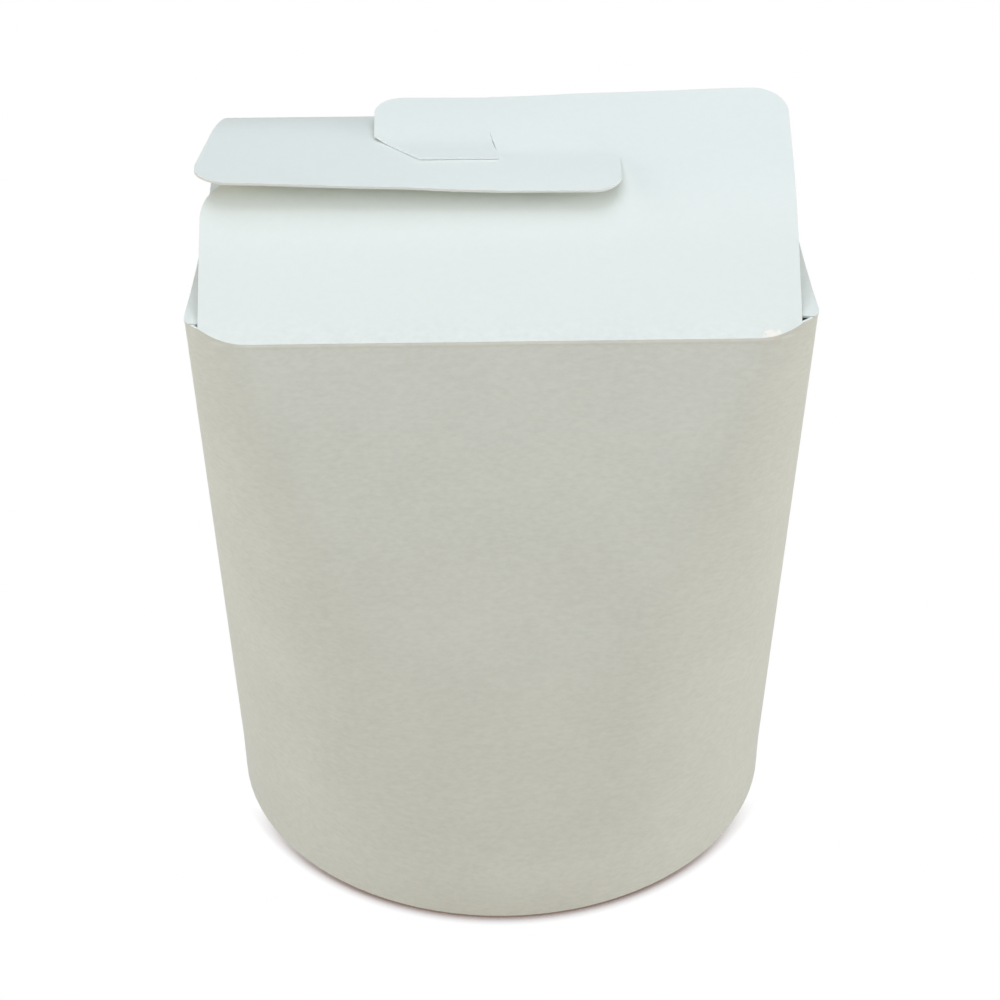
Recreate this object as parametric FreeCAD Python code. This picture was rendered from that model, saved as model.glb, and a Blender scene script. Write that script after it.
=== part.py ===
import FreeCAD, Part
import math
import os

# Takeout food box: a one-piece paperboard wrap with a round foot, a rectangular
# mouth and four lid flaps, and a round board disc sealed inside the foot.
# Millimetres, +Z up, front towards -Y, origin at the centre of the foot.

# Paperboard.
BOARD = 0.42            # thickness of the sheet
SEAL_GAP = 0.06         # room between sealed layers at the foot
LAY_GAP = 0.04          # room between flaps that lie on each other
FOLD_BULGE = 0.10       # how far a fold stands proud of the wall

# Foot ring.
FOOT_RADIUS = 45.2      # outside radius at the table
FOOT_HEIGHT = 7.2       # height of the round, cone-shaped part
WALL_LEAN = 2.7         # outward lean of the foot ring, degrees
HEM_HEIGHT = 4.8        # top of the edge turned in round the disc's skirt
HEM_CHAMFER = 0.35      # eased corners of the pressed fold

# Mouth, seen from above.
MOUTH_WIDTH = 101.0     # in front
MOUTH_BACK_WIDTH = 94.8
MOUTH_SHIFT = 0.3       # the mouth's middle lies this far to the right of the foot's
MOUTH_DEPTH = 66.2
MOUTH_HEIGHT = 111.0    # fold of the front flap at its middle
CORNER_DRAW = 2.1       # how far the fold draws back at the corners
SHOULDER_RADIUS = 12.0  # soft bend before each corner
SHOULDER_ANGLE = 45.0   # how far the soft bend turns, degrees
CORNER_RADIUS = 2.0     # tight bend at the corner
SIDE_DIP = 1.0          # inward bow of the side walls at their middle
BEND_STEPS = 12         # narrow flats in each bend
DIP_STEPS = 8           # narrow flats in each bowed side
WALL_TRIM = 1.8         # the wall is drawn this much higher and trimmed along the folds

# Front and back lid flaps; the back one is laid out as the front one and turned half round.
FRONT_FOLD_HALF = 48.0  # half width at the fold
FRONT_FREE_HALF = 47.8  # half width at the free corner
BACK_FOLD_HALF = 42.2
BACK_FREE_HALF = 48.8
FLAP_RISE_ANGLE = 33.6  # slope next to the fold, degrees
FLAP_TIP_ANGLE = 7.0    # slope at the crossing, degrees
FLAP_BEND_RADIUS = 36.0
FLAP_MID_RISE = 14.8    # height over the fold where the flaps cross
FLAP_FLATTEN_FROM = 2.0  # the slope eases off this far past the middle
FLAP_END_DROP = 0.85    # how much lower the free edge lies for it
FLAP_REACH = 13.5       # free edge past the middle, full side
TAB_REACH = 14.4        # free edge past the middle, tab side
FLAP_CORNER = 6.2       # rounding of the outer corners
CROSSING_X = -0.35      # sideways place of the crossing
CUT_OFFSET = 4.2        # cross cut before the middle
CUT_SHOULDER = 8.6      # rounding where the cross cut leaves the side
CUT_FAR_OFFSET = 6.4    # cross cut before the middle, at the side
SLIT_END = 1.9          # slit's end past the middle
SLIT_SLANT = 0.2        # sideways run of the slit, per millimetre
SLIT_WIDTH = 0.12
TAB_END = 19.9          # tab's end from the flap's middle line
TAB_CORNER = 4.6        # rounding at the tab's end
TAB_LEAD = 7.4          # sideways run of the tab's slanted corner
TAB_LEAD_RISE = 8.0
TAB_BEND = 3.0          # length of the bend that lays the tab on the other flap
TAB_END_LIFT = 0.12     # extra share of lift at the tab's end
FLAP_ROOT = 3.0         # how far the flap's sheet runs into the fold's wall
TAB_OVERLAP = 0.5       # tab and flap share this much sheet past the slit's end, each way
TAB_JOINT_GAP = 0.4     # that shared part starts so far past the slit's end
TAB_JOINT_INSET = 0.02  # and lies this far inside the sheet's faces
EDGE_SPRING = 0.95      # rise of the free edge from the slit to the full side
EDGE_SPRING_FROM = -2.0
EDGE_SPRING_TO = 20.0
SPRING_START = 4.0      # the corner springs from this far past the fold
TIP_SPRING = 0.95       # further upward spring of the full side's corner
TIP_SPRING_FROM = 17.0
TIP_SPRING_TO = 46.0

# Side flaps, folded in first.
SIDE_FLAP_LENGTH = 30.0
SIDE_FLAP_ROOT = 29.8   # half width at the fold
SIDE_FLAP_SHOULDER = 5.0  # length over which it keeps that width
SIDE_FLAP_TIP = 17.0    # half width at the free edge
SIDE_FLAP_RISE = 3.0    # degrees
SIDE_FLAP_CORNER = 6.0

# Glued lap at the back.
LAP_WIDTH = 13.0
LAP_STEP = 0.03         # step at its pressed side
LAP_TOP_GAP = 2.0
LAP_FOOT_GAP = 0.7

# Base disc.
DISC_GAP = 0.35         # plate over the hem
SKIRT_GAP = 0.5         # skirt's edge over the bottom of the fold
DISC_BEND = 0.7         # eased bend between plate and skirt


def tan(angle):
    return math.tan(math.radians(angle))


def sin(angle):
    return math.sin(math.radians(angle))


def cos(angle):
    return math.cos(math.radians(angle))


WALL_TOP = MOUTH_HEIGHT + WALL_TRIM
RING_RADIUS = FOOT_RADIUS + FOOT_HEIGHT * tan(WALL_LEAN)
FOLD_Y = MOUTH_DEPTH / 2
SLOT = BOARD + 2 * SEAL_GAP
HEM_ACROSS = 2 * BOARD + SLOT


def point(x, y, z):
    return FreeCAD.Vector(x, y, z)


def arc(cx, cy, radius, start, end, z):
    """Arc about (cx, cy) between two angles in degrees."""
    at = [point(cx + radius * cos(a), cy + radius * sin(a), z)
          for a in (start, (start + end) / 2, end)]
    return Part.Arc(at[0], at[1], at[2]).toShape()


def half_round(shape, x=0.0):
    """The same shape turned half round about an upright axis at x."""
    other = shape.copy()
    other.rotate(point(x, 0, 0), point(0, 0, 1), 180)
    return other


def upright(outline, low=-10.0, high=200.0):
    """Prism over a closed outline drawn at height 0."""
    face = Part.Face(outline)
    face.translate(point(0, 0, low))
    return face.extrude(point(0, 0, high - low))


# Wall.
def bend_centres(half):
    """Centres of the soft and the tight bend at a corner, for half the mouth's width there."""
    step = SHOULDER_RADIUS - CORNER_RADIUS
    tight_x = half - CORNER_RADIUS
    soft_x = tight_x - step * cos(SHOULDER_ANGLE)
    soft_y = MOUTH_DEPTH / 2 - SHOULDER_RADIUS
    return soft_x, soft_y, tight_x, soft_y + step * sin(SHOULDER_ANGLE)


def bend(cx, cy, radius, start, end):
    """Plan points along a bend, both ends included."""
    angles = [start + (end - start) * i / BEND_STEPS for i in range(BEND_STEPS + 1)]
    return [(cx + radius * cos(a), cy + radius * sin(a)) for a in angles]


def both_halves(right):
    """The right half's points from front to back, then the left half's back to the front."""
    return right + [(-x, y) for x, y in reversed(right)]


def side_turn():
    """Direction in which the side wall faces, degrees: a little to the back."""
    tight_y = bend_centres(0)[3]
    return math.degrees(math.atan((MOUTH_WIDTH - MOUTH_BACK_WIDTH) / 2 / (2 * tight_y)))


def mouth_points(inset):
    """The mouth from above: straight in front and behind, bent at the corners, bowed in at the sides."""
    sx, sy, tx, ty = bend_centres(MOUTH_WIDTH / 2)
    back_sx, sy, back_tx, ty = bend_centres(MOUTH_BACK_WIDTH / 2)
    soft = SHOULDER_RADIUS - inset
    tight = CORNER_RADIUS - inset
    turn = 90 - SHOULDER_ANGLE
    face = side_turn()
    front = bend(sx, -sy, soft, -90, -turn) + bend(tx, -ty, tight, -turn, face)[1:]
    back = bend(back_tx, ty, tight, face, turn) + bend(back_sx, sy, soft, turn, 90)[1:]
    side = []
    for i in range(1, DIP_STEPS):
        share = i / DIP_STEPS
        x = front[-1][0] + (back[0][0] - front[-1][0]) * share
        y = front[-1][1] + (back[0][1] - front[-1][1]) * share
        side.append((x - SIDE_DIP * (1 - (2 * share - 1) ** 2), y))
    return [(x + MOUTH_SHIFT, y) for x, y in both_halves(front + side + back)]


def foot_points(radius):
    """Points of the round foot that face the same ways as the mouth's points."""
    turn = 90 - SHOULDER_ANGLE
    face = side_turn()
    front = bend(0, 0, radius, -90, -turn) + bend(0, 0, radius, -turn, face)[1:]
    back = bend(0, 0, radius, face, turn) + bend(0, 0, radius, turn, 90)[1:]
    return both_halves(front + [front[-1]] * (DIP_STEPS - 1) + back)


def loop(points):
    """Closed wire through points, each place once."""
    kept = [p for i, p in enumerate(points) if (p - points[i - 1]).Length > 1e-6]
    return Part.makePolygon(kept + kept[:1])


def foot_row(radius, z):
    return [point(x, y, z) for x, y in foot_points(radius)]


def mouth_row(inset, z):
    return [point(x, y, z) for x, y in mouth_points(inset)]


def flats(low, high):
    """Flats between two closed rows of points; a flat with no width at one end is a triangle."""
    faces = []
    for i in range(len(low)):
        wide_low = (low[i] - low[i - 1]).Length > 1e-6
        wide_high = (high[i] - high[i - 1]).Length > 1e-6
        if wide_low or wide_high:
            faces.append(Part.Face(loop([low[i - 1], low[i], high[i], high[i - 1]])))
    return faces


def stack(rows):
    """Solid that passes through the rows of points from the lowest to the highest."""
    faces = [Part.Face(loop(rows[0])), Part.Face(loop(rows[-1]))]
    for low, high in zip(rows, rows[1:]):
        faces += flats(low, high)
    return Part.makeSolid(Part.makeShell(faces))


def wall_rows(inset):
    """Round at the foot ring, rectangular at the mouth. Each narrow flat joins the two places
    that face the same way, as bent board does, and so runs down from a corner like a fan."""
    return [foot_row(RING_RADIUS - inset, FOOT_HEIGHT), mouth_row(inset, WALL_TOP)]


def fold_reach():
    """Room the flaps may fill: the wall's outline with the folds' small bulge."""
    over = upright(loop(mouth_row(-FOLD_BULGE, 0)), WALL_TOP, WALL_TOP + 30)
    return stack(wall_rows(-FOLD_BULGE)).fuse(over)


def rim_height(y):
    """Height of the lid flap's straight part over the front or back wall."""
    return MOUTH_HEIGHT + (FOLD_Y - abs(y)) * tan(FLAP_RISE_ANGLE)


RIM_CORNER = rim_height(FOLD_Y - CORNER_DRAW)


def above_rim():
    """All that is cut off over the folds: sloped in front and behind, level at the sides."""
    drop = BOARD / 2
    reach = FOLD_Y + 8
    corner_y = FOLD_Y - CORNER_DRAW
    low = rim_height(reach) - drop
    level = RIM_CORNER - drop
    high = WALL_TOP + 5
    roof = Part.makePolygon([point(0, -reach, low), point(0, -corner_y, level),
                             point(0, corner_y, level), point(0, reach, low),
                             point(0, reach, high), point(0, -reach, high),
                             point(0, -reach, low)])
    middle = Part.Face(roof).extrude(point(2 * FRONT_FOLD_HALF, 0, 0))
    middle.translate(point(-FRONT_FOLD_HALF, 0, 0))
    corners = Part.makeBox(MOUTH_WIDTH + 20, 2 * reach, high - level,
                           point(-MOUTH_WIDTH / 2 - 10, -reach, level))
    return middle.fuse(corners)


def wall():
    shell = stack(wall_rows(0)).cut(stack(wall_rows(BOARD)))
    return shell.cut(above_rim())


# Foot ring with its turned-in hem.
def ring_radius(inset, z):
    return FOOT_RADIUS + z * tan(WALL_LEAN) - inset


def foot_ring():
    """Cone-shaped ring whose lower edge is folded inwards and pressed flat."""
    outer = HEM_CHAMFER
    inner = HEM_CHAMFER * 0.4
    across = HEM_ACROSS
    section = [(0, FOOT_HEIGHT), (0, outer), (outer, 0), (across - outer, 0), (across, outer),
               (across, HEM_HEIGHT), (across - BOARD, HEM_HEIGHT), (across - BOARD, BOARD + inner),
               (across - BOARD - inner, BOARD), (BOARD + inner, BOARD), (BOARD, BOARD + inner),
               (BOARD, FOOT_HEIGHT)]
    rows = [foot_row(ring_radius(inset, z), z) for inset, z in section]
    faces = []
    for k in range(len(rows)):
        faces += flats(rows[k - 1], rows[k])
    return Part.makeSolid(Part.makeShell(faces))


# Glued lap at the back.
def outside_rows(inset):
    """Rows of the whole outside, from the bottom fold up to the mouth."""
    bottom = foot_row(ring_radius(inset, HEM_CHAMFER), HEM_CHAMFER)
    return [bottom] + wall_rows(inset)


def lap():
    """One end of the sheet over the other: pressed level at one side, a board proud at the other."""
    half = LAP_WIDTH / 2
    slope = (BOARD - LAP_STEP) / LAP_WIDTH
    raised = []
    for row in outside_rows(0):
        raised.append([p + point(0, LAP_STEP + slope * (p.x + half), 0) for p in row])
    height = MOUTH_HEIGHT - LAP_TOP_GAP - LAP_FOOT_GAP
    strip = Part.makeBox(LAP_WIDTH, MOUTH_DEPTH, height, point(-half, FOLD_Y / 2, LAP_FOOT_GAP))
    return stack(raised).common(strip).cut(stack(outside_rows(BOARD / 2)))


# Lid flaps.
def bend_spans():
    """Length of the straight part next to the fold that puts the crossing at its height."""
    a = FLAP_RISE_ANGLE
    b = FLAP_TIP_ANGLE
    bend_run = FLAP_BEND_RADIUS * (sin(a) - sin(b))
    bend_rise = FLAP_BEND_RADIUS * (cos(b) - cos(a))
    rest = FLAP_MID_RISE - bend_rise - (FOLD_Y - bend_run) * tan(b)
    return rest / (tan(a) - tan(b)), bend_run, bend_rise


def flap_rise(y):
    """Height over the fold: straight, bent, straight to the crossing, then easing off."""
    run, bend_run, bend_rise = bend_spans()
    h = y + FOLD_Y
    a = FLAP_RISE_ANGLE
    if h <= run:
        return h * tan(a)
    if h <= run + bend_run:
        turn = math.degrees(math.asin(sin(a) - (h - run) / FLAP_BEND_RADIUS))
        return run * tan(a) + FLAP_BEND_RADIUS * (cos(turn) - cos(a))
    past = max(y - FLAP_FLATTEN_FROM, 0) / (TAB_REACH - FLAP_FLATTEN_FROM)
    straight = run * tan(a) + bend_rise + (h - run - bend_run) * tan(FLAP_TIP_ANGLE)
    return straight - FLAP_END_DROP * past ** 2


def eased(value, start, end):
    """Share of the way from start to end, starting and ending softly."""
    share = min(max((value - start) / (end - start), 0), 1)
    return share * share * (3 - 2 * share)


def spring(x, y):
    """Upward spring of the free edge beside the slit and of the full side's corner."""
    past = max(y - FLAP_FLATTEN_FROM, 0) / (TAB_REACH - FLAP_FLATTEN_FROM)
    along = max((y + FOLD_Y - SPRING_START) / (FOLD_Y + FLAP_REACH - SPRING_START), 0)
    edge = EDGE_SPRING * eased(x, EDGE_SPRING_FROM, EDGE_SPRING_TO) * past ** 2
    return edge + TIP_SPRING * eased(x, TIP_SPRING_FROM, TIP_SPRING_TO) * along ** 2


def tab_lift(x, y):
    """Lift that bends the tab out of its flap and lays it, just clear, on the other flap."""
    slope = tan(FLAP_TIP_ANGLE)
    start = (BOARD + LAY_GAP) / (2 * slope) + TAB_BEND / 2
    in_bend = min(max(start - y, 0), TAB_BEND)
    past_bend = max(start - TAB_BEND - y, 0)
    lift = slope * (in_bend ** 2 / TAB_BEND + 2 * past_bend)
    return lift * (1 + TAB_END_LIFT * (x / TAB_END) ** 2)


def slit_x(y):
    """The slits of both flaps lie on one slanted line through the crossing."""
    return CROSSING_X - SLIT_SLANT * y


def sheet_section(x, start, end, height, thin=0.0):
    """Closed strip outline across the flap at x: top line, end, underside, end."""
    count = 25
    step = (end - start) / (count - 1)
    top = []
    under = []
    for i in range(count):
        y = start + i * step
        slope = (height(x, y + 0.01) - height(x, y - 0.01)) / 0.02
        length = math.hypot(1, slope)
        z = MOUTH_HEIGHT + height(x, y)
        ny = -slope / length
        nz = 1 / length
        top.append(point(x, y - ny * thin, z - nz * thin))
        deep = BOARD - thin
        under.append(point(x, y - ny * deep, z - nz * deep))
    upper = Part.BSplineCurve()
    upper.interpolate(top)
    lower = Part.BSplineCurve()
    lower.interpolate(under[::-1])
    return Part.Wire([upper.toShape(), Part.makeLine(top[-1], under[-1]),
                      lower.toShape(), Part.makeLine(under[0], top[0])])


def sheet(stations, start, end, height, thin=0.0):
    sections = [sheet_section(x, start, end, height, thin) for x in stations]
    return Part.makeLoft(sections, True, True)


def free_edge(x):
    """Free edge of the flap: a little longer on the tab side."""
    from_tab = x + TAB_END - TAB_CORNER
    run = TAB_END + FRONT_FREE_HALF - TAB_CORNER - FLAP_CORNER
    return TAB_REACH - (TAB_REACH - FLAP_REACH) * from_tab / run


def lines(points):
    """Edges through the given plan points, one after the other."""
    at = [point(x, y, 0) for x, y in points]
    return [Part.makeLine(a, b) for a, b in zip(at, at[1:])]


def body_rise(x, y):
    return flap_rise(y) + spring(x, y)


def tab_rise(x, y):
    return flap_rise(y) + tab_lift(x, y)


def flap_body(middle, fold_half, free_half):
    """Flap without its tab, its outline centred on x = middle."""
    left = middle - free_half
    right = middle + free_half
    r = FLAP_CORNER
    s = CUT_SHOULDER
    slit = SLIT_WIDTH / 2
    slit_end = slit_x(SLIT_END)
    joint = slit_end - TAB_OVERLAP
    lean = math.degrees(math.atan((free_half - fold_half) / (FOLD_Y + FLAP_REACH - r)))
    shoulder_y = -CUT_FAR_OFFSET - s
    corner = arc(right - r, FLAP_REACH - r, r, -lean, 90, 0)
    shoulder = arc(left + s, shoulder_y, s, 90, 180, 0)
    root = -FOLD_Y - FLAP_ROOT
    sides = lines([(left, shoulder_y), (middle - fold_half, -FOLD_Y), (middle - fold_half, root),
                   (middle + fold_half, root), (middle + fold_half, -FOLD_Y),
                   (right - r + r * cos(lean), FLAP_REACH - r - r * sin(lean))])
    edge = lines([(right - r, FLAP_REACH), (joint, free_edge(joint)), (joint, SLIT_END),
                  (slit_end + slit, SLIT_END), (slit_x(-CUT_OFFSET) + slit, -CUT_OFFSET),
                  (left + s, -CUT_FAR_OFFSET)])
    outline = Part.Wire(sides + [corner] + edge + [shoulder])
    spring_run = TIP_SPRING_TO - EDGE_SPRING_FROM
    stations = [left - 1] + [EDGE_SPRING_FROM + spring_run * i / 6 for i in range(7)] + [right + 1]
    body = sheet(stations, root - 1, TAB_REACH + 2, body_rise)
    return body.common(upright(outline)).common(fold_reach())


def flap_tab(middle):
    """Tab between the cross cut and the free edge, laid over the other flap."""
    cut = -CUT_OFFSET
    slit = SLIT_WIDTH / 2
    end = middle - TAB_END
    r = TAB_CORNER
    slit_end = slit_x(SLIT_END)
    joint = slit_end + TAB_OVERLAP
    past = SLIT_END + TAB_JOINT_GAP
    edge = lines([(end, TAB_REACH - r), (end, cut + TAB_LEAD_RISE), (end + TAB_LEAD, cut),
                  (slit_x(cut) - slit, cut), (slit_end - slit, SLIT_END), (slit_end - slit, past),
                  (joint, past), (joint, free_edge(joint) - TAB_JOINT_INSET), (end + r, TAB_REACH)])
    outline = Part.Wire(edge + [arc(end + r, TAB_REACH - r, r, 90, 180, 0)])
    stations = [end - 1 + (joint + 1.5 - end) * i / 4 for i in range(5)]
    return sheet(stations, cut - 1, TAB_REACH + 2, tab_rise, TAB_JOINT_INSET).common(upright(outline))


def lid_flap(middle, fold_half, free_half):
    return flap_body(middle, fold_half, free_half).fuse(flap_tab(middle))


def side_flap():
    """Right side flap, folded in first and lying under the lid flaps."""
    root = SIDE_FLAP_ROOT
    tip = SIDE_FLAP_TIP
    inner = MOUTH_WIDTH / 2 - SIDE_FLAP_LENGTH
    shoulder = MOUTH_WIDTH / 2 - SIDE_FLAP_SHOULDER
    outer = MOUTH_WIDTH / 2 + 1
    half = [(inner, -tip), (shoulder, -root), (outer, -root)]
    plan = half + [(x, -y) for x, y in reversed(half)]
    body = Part.Face(loop([point(x, y, 0) for x, y in plan])).extrude(point(0, 0, BOARD))
    tips = [e for e in body.Edges if abs(e.BoundBox.XMax - inner) < 0.01 and e.BoundBox.ZLength > 0.1]
    body = body.makeFillet(SIDE_FLAP_CORNER, tips)
    body.translate(point(0, 0, RIM_CORNER - BOARD))
    body.rotate(point(MOUTH_WIDTH / 2, 0, RIM_CORNER), point(0, 1, 0), SIDE_FLAP_RISE)
    body.translate(point(MOUTH_SHIFT, 0, 0))
    return body.common(fold_reach())


def carton_wrap():
    front = lid_flap(0, FRONT_FOLD_HALF, FRONT_FREE_HALF)
    # turned half round about the crossing, so that its outline ends up centred on the box
    back = half_round(lid_flap(2 * CROSSING_X, BACK_FOLD_HALF, BACK_FREE_HALF), CROSSING_X)
    side = side_flap()
    other_side = side.mirror(point(MOUTH_SHIFT, 0, 0), point(1, 0, 0))
    pieces = [foot_ring(), lap(), front, back, side, other_side]
    return wall().fuse(pieces).removeSplitter()


# Base disc.
def turned(corners):
    """Solid of revolution over a closed outline of straight runs."""
    outline = Part.makePolygon(corners + corners[:1])
    return Part.Face(outline).revolve(point(0, 0, 0), point(0, 0, 1), 360)


def base_disc():
    """Round plate with a skirt that hangs in the slot between wall and hem."""
    top = HEM_HEIGHT + DISC_GAP + BOARD
    edge = BOARD + SEAL_GAP
    low = BOARD + SKIRT_GAP
    ease = DISC_BEND
    inside = ease * 0.35
    section = [(edge + ease, top), (edge, top - ease), (edge, low), (edge + BOARD, low),
               (edge + BOARD, top - BOARD - inside), (edge + BOARD + inside, top - BOARD)]
    corners = [point(ring_radius(inset, z), 0, z) for inset, z in section]
    return turned([point(0, 0, top)] + corners + [point(0, 0, top - BOARD)])


os.makedirs("parts", exist_ok=True)
carton_wrap().exportStep("parts/carton_wrap.step")
base_disc().exportStep("parts/base_disc.step")
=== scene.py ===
import math
import bpy
from mathutils import Matrix, Vector

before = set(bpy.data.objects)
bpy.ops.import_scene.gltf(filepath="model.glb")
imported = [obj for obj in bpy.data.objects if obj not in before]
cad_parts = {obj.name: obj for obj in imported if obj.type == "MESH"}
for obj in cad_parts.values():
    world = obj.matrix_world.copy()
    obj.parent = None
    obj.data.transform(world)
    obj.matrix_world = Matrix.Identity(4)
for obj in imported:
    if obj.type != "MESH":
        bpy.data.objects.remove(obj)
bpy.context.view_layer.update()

# Carton wrap. White food board about 0.4 mm thick, cut and creased as one sheet, glued in a
# lap at the back, folded in round the foot and closed by four lid flaps. The board shows a
# fine cloudy fibre grain along its length and turns a little rough and pale along its folds;
# along the top of the front fold a painted highlight is added to that paleness.


def new_material(name):
    material = bpy.data.materials.new(name)
    material.use_nodes = True
    tree = material.node_tree
    tree.nodes.clear()
    out = tree.nodes.new("ShaderNodeOutputMaterial")
    shader = tree.nodes.new("ShaderNodeBsdfPrincipled")
    tree.links.new(shader.outputs[0], out.inputs["Surface"])
    return material, tree, shader


def add(tree, kind, settings=None, **links):
    """New node; settings go on its attributes, links on its inputs by name or number."""
    node = tree.nodes.new(kind)
    for key, value in (settings or {}).items():
        setattr(node, key, value)
    for key, value in links.items():
        socket = node.inputs[int(key[1:])] if key[0] == "i" and key[1:].isdigit() else node.inputs[key]
        if isinstance(value, bpy.types.NodeSocket):
            tree.links.new(value, socket)
        else:
            socket.default_value = value
    return node


def shares(tree, value, start, end, low=0.0, high=1.0):
    """Value mapped from start..end to low..high, held at both ends."""
    return add(tree, "ShaderNodeMapRange", None, Value=value, i1=start, i2=end, i3=low, i4=high).outputs[0]


def maths(tree, kind, first, second, clamp=False):
    return add(tree, "ShaderNodeMath", {"operation": kind, "use_clamp": clamp}, i0=first, i1=second).outputs[0]


def blend(tree, share, below, above):
    """Colour between two others."""
    node = add(tree, "ShaderNodeMix", {"data_type": "RGBA"}, i0=share)
    for socket, value in ((node.inputs[6], below), (node.inputs[7], above)):
        if isinstance(value, bpy.types.NodeSocket):
            tree.links.new(value, socket)
        else:
            socket.default_value = value
    return node.outputs[2]


def board_material(name, light, shade, calm_above=None, grain_size=(0.5, 0.5, 1.0)):
    """Food board: cloudy grain, fine fibres, small bumps and a satin sizing. Above the height
    calm_above the grain shows less."""
    material, tree, shader = new_material(name)
    place = add(tree, "ShaderNodeTexCoord").outputs["Object"]
    height = add(tree, "ShaderNodeSeparateXYZ", None, Vector=place).outputs[2]
    stretched = add(tree, "ShaderNodeMapping", None, Vector=place, Scale=grain_size).outputs[0]
    cloud = add(tree, "ShaderNodeTexNoise", None, Vector=stretched, Scale=1500.0, Detail=5.0,
                Roughness=0.62).outputs["Fac"]
    wide = add(tree, "ShaderNodeTexNoise", None, Vector=place, Scale=70.0, Detail=3.0).outputs["Fac"]
    fibre = add(tree, "ShaderNodeTexNoise", None, Vector=stretched, Scale=4600.0, Detail=3.0).outputs["Fac"]
    cloud_share = shares(tree, cloud, 0.28, 0.72, -0.5, 0.5)
    wide_share = shares(tree, wide, 0.3, 0.7, -0.22, 0.22)
    spread = maths(tree, "ADD", cloud_share, wide_share)
    if calm_above is not None:
        spread = maths(tree, "MULTIPLY", spread, shares(tree, height, calm_above, calm_above + 0.003, 1.0, 0.2))
    mottle = maths(tree, "ADD", spread, 0.55, True)
    colour = blend(tree, mottle, shade, light)
    rough = shares(tree, cloud, 0.2, 0.8, 0.66, 0.80)
    tree.links.new(rough, shader.inputs["Roughness"])
    shader.inputs["Specular IOR Level"].default_value = 0.25
    heights = add(tree, "ShaderNodeMath", {"operation": "MULTIPLY_ADD"}, i0=fibre, i1=0.5, i2=cloud)
    bump = add(tree, "ShaderNodeBump", None, Strength=0.12, Distance=0.00008, Height=heights.outputs[0])
    tree.links.new(bump.outputs[0], shader.inputs["Normal"])
    tree.links.new(colour, shader.inputs["Base Color"])
    return material, tree, shader, colour, place


def soften(piece):
    """Shade the narrow flats of the board's bends as one curve; edges over 25 degrees stay crisp."""
    weld = piece.modifiers.new("joined", "WELD")
    weld.merge_threshold = 0.000002
    group = bpy.data.node_groups.new("bends_" + piece.name, "GeometryNodeTree")
    group.interface.new_socket("Geometry", in_out="INPUT", socket_type="NodeSocketGeometry")
    group.interface.new_socket("Geometry", in_out="OUTPUT", socket_type="NodeSocketGeometry")
    start = group.nodes.new("NodeGroupInput")
    end = group.nodes.new("NodeGroupOutput")
    plain = group.nodes.new("GeometryNodeRemoveAttribute")
    plain.inputs["Name"].default_value = "custom_normal"
    faces = group.nodes.new("GeometryNodeSetShadeSmooth")
    edges = group.nodes.new("GeometryNodeSetShadeSmooth")
    edges.domain = "EDGE"
    angle = group.nodes.new("GeometryNodeInputMeshEdgeAngle")
    small = group.nodes.new("FunctionNodeCompare")
    small.operation = "LESS_THAN"
    small.inputs[1].default_value = math.radians(25)
    group.links.new(start.outputs[0], plain.inputs[0])
    group.links.new(plain.outputs[0], faces.inputs["Geometry"])
    group.links.new(faces.outputs[0], edges.inputs["Geometry"])
    group.links.new(angle.outputs["Unsigned Angle"], small.inputs[0])
    group.links.new(small.outputs[0], edges.inputs["Shade Smooth"])
    group.links.new(edges.outputs[0], end.inputs[0])
    piece.modifiers.new("bends", "NODES").node_group = group


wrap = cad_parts["carton_wrap"]
wrap_board, tree, shader, colour, place = board_material(
    "white_board", (0.853, 0.917, 0.918, 1), (0.776, 0.835, 0.835, 1), 0.1105)
# the food side, on the faces turned downwards under the flaps, is a warmer white
facing = add(tree, "ShaderNodeSeparateXYZ", None, Vector=add(tree, "ShaderNodeTexCoord").outputs["Normal"]).outputs[2]
under = shares(tree, facing, -0.3, -0.6)
colour = blend(tree, under, colour, (0.90, 0.885, 0.77, 1))
# the cut edges of the flaps show the paler core of the board
sideways = add(tree, "ShaderNodeMath", {"operation": "ABSOLUTE"}, i0=facing).outputs[0]
height = add(tree, "ShaderNodeSeparateXYZ", None, Vector=place).outputs[2]
cut_edge = maths(tree, "MULTIPLY", shares(tree, sideways, 0.45, 0.35), shares(tree, height, 0.1135, 0.114))
colour = blend(tree, cut_edge, colour, (0.90, 0.94, 0.95, 1))
# the seal round the foot presses the wall out in a faint band
seal = add(tree, "ShaderNodeMapRange", {"interpolation_type": "SMOOTHSTEP"}, Value=height, i1=0.0115, i2=0.0075).outputs[0]
band = add(tree, "ShaderNodeBump", None, Strength=1.0, Distance=0.00010, Height=seal, Normal=shader.inputs["Normal"].links[0].from_socket)
tree.links.new(band.outputs[0], shader.inputs["Normal"])
# the front fold is painted paler along the top of its bend: partly rubbed wear, partly a painted highlight where the
# bend turns to the light
front = shares(tree, add(tree, "ShaderNodeSeparateXYZ", None, Vector=place).outputs[1], -0.0315, -0.0322)
fold_wear_and_highlight = maths(tree, "MULTIPLY", shares(tree, height, 0.1099, 0.1103), shares(tree, height, 0.1108, 0.1105))
fold_wear_and_highlight = maths(tree, "MULTIPLY", fold_wear_and_highlight, front)
patchy = add(tree, "ShaderNodeTexNoise", None, Vector=place, Scale=500.0, Detail=4.0).outputs["Fac"]
fold_wear_and_highlight = maths(tree, "MULTIPLY", fold_wear_and_highlight, shares(tree, patchy, 0.3, 0.6, 0.3, 1.0))
colour = blend(tree, fold_wear_and_highlight, colour, (0.92, 0.97, 0.97, 1))
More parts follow.
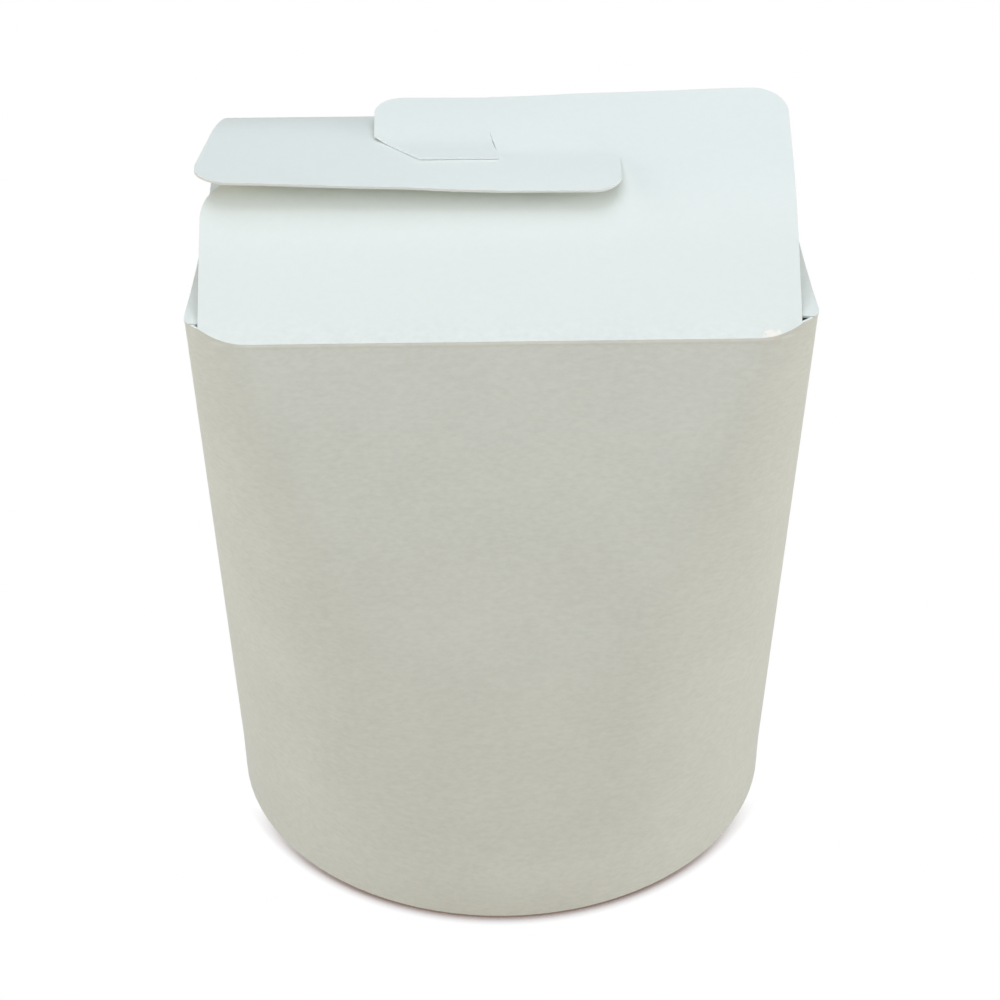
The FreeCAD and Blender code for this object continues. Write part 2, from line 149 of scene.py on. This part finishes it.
# a spot on the front fold where the top layer has torn off and white fibres show
torn_from = add(tree, "ShaderNodeVectorMath", {"operation": "SUBTRACT"}, i0=place, i1=(0.0433, -0.0329, 0.1112)).outputs[0]
torn_shape = add(tree, "ShaderNodeMapping", None, Vector=torn_from, Scale=(0.8, 1.6, 2.0)).outputs[0]
torn_far = add(tree, "ShaderNodeVectorMath", {"operation": "LENGTH"}, i0=torn_shape).outputs[1]
ragged = add(tree, "ShaderNodeTexNoise", None, Vector=place, Scale=1800.0, Detail=4.0).outputs["Fac"]
torn_edge = maths(tree, "ADD", torn_far, shares(tree, ragged, 0.3, 0.7, -0.0006, 0.0006))
torn = shares(tree, torn_edge, 0.0012, 0.0009)
colour = blend(tree, torn, colour, (0.95, 0.95, 0.93, 1))
tree.links.new(colour, shader.inputs["Base Color"])
wrap.data.materials.clear()
wrap.data.materials.append(wrap_board)
soften(wrap)

# Base disc. A round of the same board with its edge turned down, sealed inside the foot;
# only its underside shows, a little recessed.
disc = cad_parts["base_disc"]
disc_board = board_material("base_board", (0.85, 0.88, 0.87, 1), (0.80, 0.83, 0.81, 1), None, (1.0, 0.5, 1.0))[0]
disc.data.materials.clear()
disc.data.materials.append(disc_board)
soften(disc)

# Floor and light. A white sweep under a large soft light above the front of the box, with
# a fainter one above the back, one at each side and weak light all round; the floor throws a
# warm light back onto the foot. To the camera the floor is white, with a painted contact shadow
# along the front of the foot.


def seen_share(tree):
    """1 for rays from the camera, mirrors and glass, which see the backdrop plain white and the floor white with a
    painted contact shadow.
    """
    rays = add(tree, "ShaderNodeLightPath").outputs
    mirrored = maths(tree, "MAXIMUM", rays["Is Glossy Ray"], rays["Is Transmission Ray"])
    return maths(tree, "MAXIMUM", rays["Is Camera Ray"], mirrored)


bpy.ops.mesh.primitive_plane_add(size=8.0, location=(0, 0, -0.0001))
floor = bpy.context.object
floor.name = "floor"
floor_white, tree, shader = new_material("floor_white")
seen = seen_share(tree)
# painted contact shadow: to the camera the floor is white emission, darkened by ambient occlusion near the front of
# the foot into a soft painted shadow with a thin darker painted line; behind the front it stays white
near = add(tree, "ShaderNodeAmbientOcclusion", {"samples": 6}, Distance=0.0021).outputs["AO"]
depth = add(tree, "ShaderNodeSeparateXYZ", None, Vector=add(tree, "ShaderNodeTexCoord").outputs["Object"]).outputs[1]
rearward = shares(tree, depth, -0.040, -0.015)
painted_soft_shadow = maths(tree, "MAXIMUM", shares(tree, near, 0.5, 0.96), rearward)
painted_shadow_line = maths(tree, "MAXIMUM", shares(tree, near, 0.53, 0.62), rearward)
shown = blend(tree, painted_soft_shadow, (0.42, 0.36, 0.35, 1), (1.0, 1.0, 1.0, 1))
shown = blend(tree, painted_shadow_line, (0.24, 0.18, 0.15, 1), shown)
tree.links.new(blend(tree, seen, (0.55, 0.44, 0.28, 1), (0.0, 0.0, 0.0, 1)), shader.inputs["Base Color"])
shader.inputs["Roughness"].default_value = 0.9
shader.inputs["Specular IOR Level"].default_value = 0.0
tree.links.new(shown, shader.inputs["Emission Color"])
tree.links.new(seen, shader.inputs["Emission Strength"])
floor.data.materials.append(floor_white)

for name, place, wide, deep, energy, tint in (
        ("softbox", (0.06, -0.60, 1.05), 1.8, 1.5, 8.35, (0.975, 1.0, 0.995)),
        ("top_light", (0.0, 0.20, 1.15), 1.1, 0.8, 4.75, (0.93, 0.975, 1.0)),
        ("left_fill", (-1.0, -0.20, 0.35), 0.9, 0.6, 4.1, (1.0, 0.97, 0.95)),
        ("right_fill", (1.0, -0.20, 0.35), 0.9, 0.6, 4.2, (1.0, 0.96, 0.94))):
    lamp_data = bpy.data.lights.new(name, "AREA")
    lamp_data.shape = "RECTANGLE"
    lamp_data.size = wide
    lamp_data.size_y = deep
    lamp_data.energy = energy
    lamp_data.color = tint
    lamp = bpy.data.objects.new(name, lamp_data)
    lamp.location = place
    lamp.rotation_euler = (Vector((0.0, 0.0, 0.08)) - lamp.location).to_track_quat("-Z", "Y").to_euler()
    bpy.context.scene.collection.objects.link(lamp)

world = bpy.data.worlds.new("studio")
bpy.context.scene.world = world
world.use_nodes = True
sky = world.node_tree.nodes["Background"]
seen = seen_share(world.node_tree)
backdrop = blend(world.node_tree, seen, (0.115, 0.112, 0.108, 1), (1.0, 1.0, 1.0, 1))
world.node_tree.links.new(backdrop, sky.inputs["Color"])
sky.inputs["Strength"].default_value = 1.0

# Camera. Long lens, looking down at the front of the box.
camera_data = bpy.data.cameras.new("camera")
camera_data.sensor_width = 36.0
camera_data.lens = 172.8
camera = bpy.data.objects.new("camera", camera_data)
turn, tilt, roll = -0.0089, math.pi / 2 - 0.6364, -0.0078
facing = Matrix.Rotation(turn, 4, "Z") @ Matrix.Rotation(tilt, 4, "X") @ Matrix.Rotation(roll, 4, "Z")
aim = Matrix.Rotation(turn, 4, "Z") @ Vector((0.00007, 0.0, 0.05487))
camera.matrix_world = Matrix.Translation(aim + facing.to_3x3() @ Vector((0, 0, 0.82035))) @ facing
bpy.context.scene.collection.objects.link(camera)
bpy.context.scene.camera = camera
bpy.context.scene.view_settings.view_transform = "Standard"
